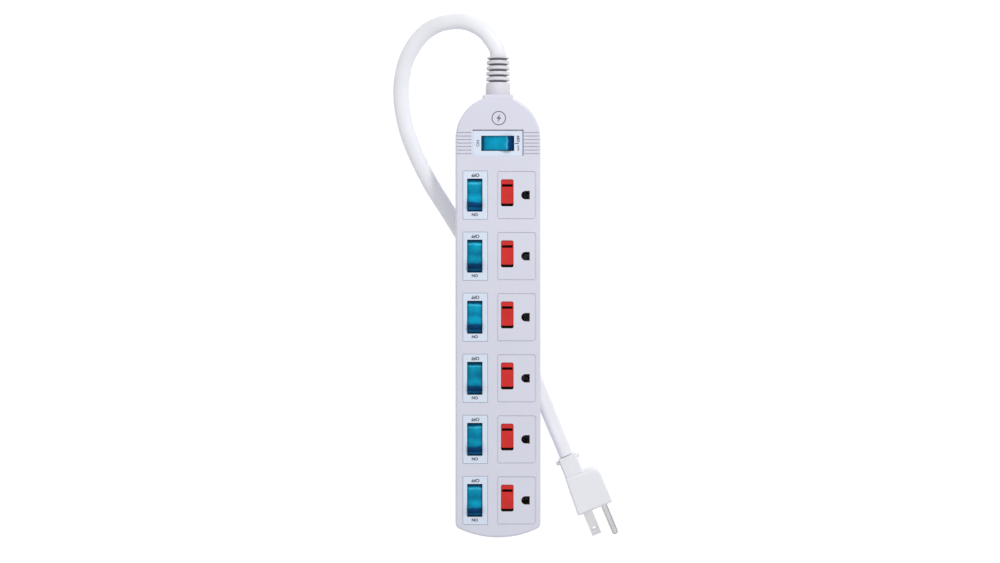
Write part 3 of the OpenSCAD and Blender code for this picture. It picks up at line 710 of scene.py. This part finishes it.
def make_strain_relief():
    length = 26.0 * MM
    collar = 7.9 * MM
    pitch = 3.65 * MM
    groove = 1.4 * MM
    core = 5.7 * MM
    # radius and distance along the axis, in millimetres: retaining groove, then the base of the collar
    profile = [(7.2, -5.2), (7.4, -5.0), (7.4, -2.4), (7.3, -2.3), (5.95, -2.3), (5.95, 0.02), (7.6, 0.02),
               (8.1, 0.25), (8.3, 0.8)]
    points = [(r * MM, d * MM) for r, d in profile]

    def radius(d):
        return 8.3 * MM - (d / length) * 0.85 * MM

    start = collar + 1 * MM
    points.append((radius(collar), collar))
    for k in range(5):
        end = start + groove
        points += [(radius(start) - 0.25 * MM, start - 0.05 * MM), (core + 0.35 * MM, start + 0.1 * MM),
                   (core, start + 0.4 * MM), (core, end - 0.4 * MM), (core + 0.35 * MM, end - 0.1 * MM),
                   (radius(start) - 0.3 * MM, end), (radius(start), end + 0.3 * MM)]
        start += pitch
        if k < 4:
            points.append((radius(start), start - 0.3 * MM))
    points += [(7.35 * MM, length - 0.5 * MM), (7.0 * MM, length - 0.1 * MM), (6.7 * MM, length)]
    sides = 72
    bm = bmesh.new()
    rows = []
    for r, d in points:
        rows.append([(r * math.cos(a), HALF_L + d, PART_Z + r * math.sin(a))
                     for a in (2 * math.pi * k / sides for k in range(sides))])
    loft(bm, rows)
    relief = new_object("strain_relief_boot", bm, "relief_rubber")
    finish_mesh(relief, 40)
    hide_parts("strain_relief")
    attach(relief, "housing")
    return relief


RELIEF = make_strain_relief()


# ---------------------------------------------------------------- plug

PLUG_AT = Vector(CORD_ROUTE[-1])
PLUG_TURN = math.radians(22.5)
PLUG_T = 23 * MM
PLUG_MATRIX = Matrix.Translation(PLUG_AT) @ Matrix.Rotation(math.pi + PLUG_TURN, 4, "Z") @ Matrix.Scale(
    -1, 4, (1, 0, 0))


def corner_ring(corners, d, n=6):
    """Outline of a convex shape with corners (x, y, radius), anticlockwise, shrunk by d."""
    out = []
    count = len(corners)
    for i, (x, y, r) in enumerate(corners):
        p = Vector((x, y))
        a = (Vector(corners[i - 1][:2]) - p).normalized()
        b = (Vector(corners[(i + 1) % count][:2]) - p).normalized()
        half = math.acos(max(-1, min(1, a.dot(b)))) / 2
        centre = p + (a + b).normalized() * (r / math.sin(half))
        start = p + a * (r / math.tan(half)) - centre
        a0 = math.atan2(start.y, start.x)
        sweep_angle = math.pi - 2 * half
        rr = max(r - d, 0.02 * MM)
        out += [(centre.x + rr * math.cos(a0 + sweep_angle * k / n),
                 centre.y + rr * math.sin(a0 + sweep_angle * k / n)) for k in range(n + 1)]
    return out


def pillow(bm, corners, z0, z1, edge, steps=6):
    """Prism of that outline with rounded edges at both ends."""
    low, high = [], []
    for k in range(steps + 1):
        a = math.pi / 2 * k / steps
        points = corner_ring(corners, edge * (1 - math.cos(a)))
        rise = edge * (1 - math.sin(a))
        low.insert(0, [(x, y, z0 + rise) for x, y in points])
        high.append([(x, y, z1 - rise) for x, y in points])
    loft(bm, low + high)


def mm_corners(values):
    return [(x * MM, y * MM, r * MM) for x, y, r in values]


def make_plug():
    bm = bmesh.new()
    half = PLUG_T / 2
    pillow(bm, mm_corners([(-6.6, 13.2, 1.0), (-8.2, 39, 1.2), (16.6, 39, 1.2), (16.6, 13.6, 5.8)][::-1]),
           -half, half, 1.6 * MM)
    plug = new_object("plug_moulding", bm, "plug_rubber")
    bm = bmesh.new()
    pillow(bm, mm_corners([(-6.3, 0, 1.0), (6.3, 0, 1.0), (6.3, 17, 1.0), (-6.3, 17, 1.0)]),
           -6.5 * MM, 6.5 * MM, 2.2 * MM)
    boolean(plug, bm, "UNION")
    bm = bmesh.new()
    pillow(bm, mm_corners([(-8.3, 1.2, 0.7), (8.3, 1.2, 0.7), (8.3, 3.8, 0.7), (-8.3, 3.8, 0.7)]),
           -3 * MM, 3 * MM, 0.7 * MM)
    boolean(plug, bm, "UNION")
    # sockets that the blades and the pin are moulded into
    bm = bmesh.new()
    for s in (-1, 1):
        loft(bm, [[(x, y, z) for x, z in box_points(-1.2 * MM, s * 6.35 * MM, 6.35 * MM, 1.5 * MM)]
                  for y in (33 * MM, 41 * MM)])
    loft(bm, [[(x, y, z) for x, z in circle_points(10.7 * MM, 0, 2.4 * MM)] for y in (33 * MM, 41 * MM)])
    boolean(plug, bm)
    soften(plug, 0.3 * MM, 3, 38)
    apply_modifiers(plug)
    plug.data.transform(PLUG_MATRIX)
    plug.data.flip_normals()
    finish_mesh(plug, 34)
    weigh_normals(plug)
    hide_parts("plug_body")
    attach(plug, "housing")
    return plug


PLUG = make_plug()


# ---------------------------------------------------------------- carried CAD nodes

SLOTS = {s["node"]: s["material_slot"] for s in frame["record"]["subparts"]}
ROUNDING = {"rocker_plastic": (0.75, 4, 6), "panel_plastic": (0.25, 2, 30), "shutter_plastic": (0.25, 2, 30),
            "blade_metal": (0.30, 2, 40), "foot_rubber": (0.40, 3, 30), "screw_steel": (0.12, 2, 30),
            "carrier_plastic": (0.15, 1, 30), "contact_brass": (0.08, 1, 30), "board_plastic": (0.1, 1, 30)}
REPLACED = {"top_shell", "bottom_shell", "strain_relief", "plug_body", "power_cord"}


def dress_nodes():
    for name, obj in frame["nodes"].items():
        if name in REPLACED:
            continue
        slot = SLOTS[name]
        obj.data.materials.clear()
        obj.data.materials.append(MATERIALS["rocker_plastic_main" if name == "main_rocker" else slot])
        if slot in ROUNDING:
            width, segments, angle = ROUNDING[slot]
            flat = obj.modifiers.new("flat_faces", "DECIMATE")
            flat.decimate_type = "DISSOLVE"
            flat.angle_limit = math.radians(1)
            soften(obj, width * MM, segments, angle)
        obj.data.shade_smooth()
        obj.data.set_sharp_from_angle(angle=math.radians(35))


dress_nodes()


# ---------------------------------------------------------------- printed marks

def print_on(name, mesh, place, turn, mat):
    mesh.transform(Matrix.Translation(place) @ Matrix.Rotation(math.radians(turn), 4, "Z"))
    mesh.materials.clear()
    mesh.materials.append(MATERIALS[mat])
    obj = bpy.data.objects.new(name, mesh)
    bpy.context.collection.objects.link(obj)
    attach(obj, "housing")


def lettering(name, text, size, place, turn, mat, bold=0.10):
    curve = bpy.data.curves.new(name, "FONT")
    curve.body = text
    curve.size = size
    curve.align_x = "CENTER"
    curve.align_y = "CENTER"
    curve.extrude = 0.01 * MM
    curve.offset = bold * MM
    temp = bpy.data.objects.new(name + "_curve", curve)
    bpy.context.collection.objects.link(temp)
    mesh = bpy.data.meshes.new_from_object(temp.evaluated_get(bpy.context.evaluated_depsgraph_get()))
    bpy.data.objects.remove(temp)
    print_on(name, mesh, place, turn, mat)


def flat_shape(name, loops, place, mat):
    """Printed shape made of closed outlines in millimetres."""
    bm = bmesh.new()
    for points in loops:
        prism(bm, [(x * MM, y * MM) for x, y in points], -0.01 * MM, 0.01 * MM)
    bmesh.ops.recalc_face_normals(bm, faces=bm.faces)
    mesh = bpy.data.meshes.new(name)
    bm.to_mesh(mesh)
    bm.free()
    print_on(name, mesh, place, 0, mat)


BOLT = [(1.1, 3.0), (-1.7, -0.4), (-0.1, -0.4), (-1.1, -3.0), (1.7, 0.5), (0.1, 0.5)]


def make_marks():
    lift = 0.015 * MM
    for i, y in enumerate(ROW_Y):
        lettering(f"off_mark_{i + 1}", "OFF", 3.0 * MM, (ROCKER_X + 0.4 * MM, y + 13.1 * MM, FACE_Z + lift), 180,
                  "print_grey")
        lettering(f"on_mark_{i + 1}", "ON", 2.6 * MM, (ROCKER_X, y - 12.7 * MM, FACE_Z + lift), 180, "print_grey")
    main_z = FACE_Z - 1 * MM + lift
    lettering("main_on_mark", "ON", 2.8 * MM, (MAIN_X - 12.9 * MM, MAIN_Y, main_z), 90, "print_light")
    lettering("main_off_mark", "OFF", 2.5 * MM, (MAIN_X + 13.6 * MM, MAIN_Y + 2.9 * MM, main_z), 90, "print_grey")
    lettering("main_reset_mark", "RESET", 1.5 * MM, (MAIN_X + 13.6 * MM, MAIN_Y - 2.9 * MM, main_z), 90,
              "print_mid", 0.05)
    flat_shape("main_dash", [box_points(0, 0, 2.6, 0.6)], (MAIN_X + 12.5 * MM, MAIN_Y - 0.1 * MM, main_z),
               "print_grey")
    ring = [arc(0, 0, 4.7, a, a + 15, 3) + arc(0, 0, 4.1, a + 15, a, 3) for a in range(0, 360, 15)]
    flat_shape("mains_sign", ring + [BOLT], (0.5 * MM, 129.6 * MM, FACE_Z + lift), "print_mid")


make_marks()
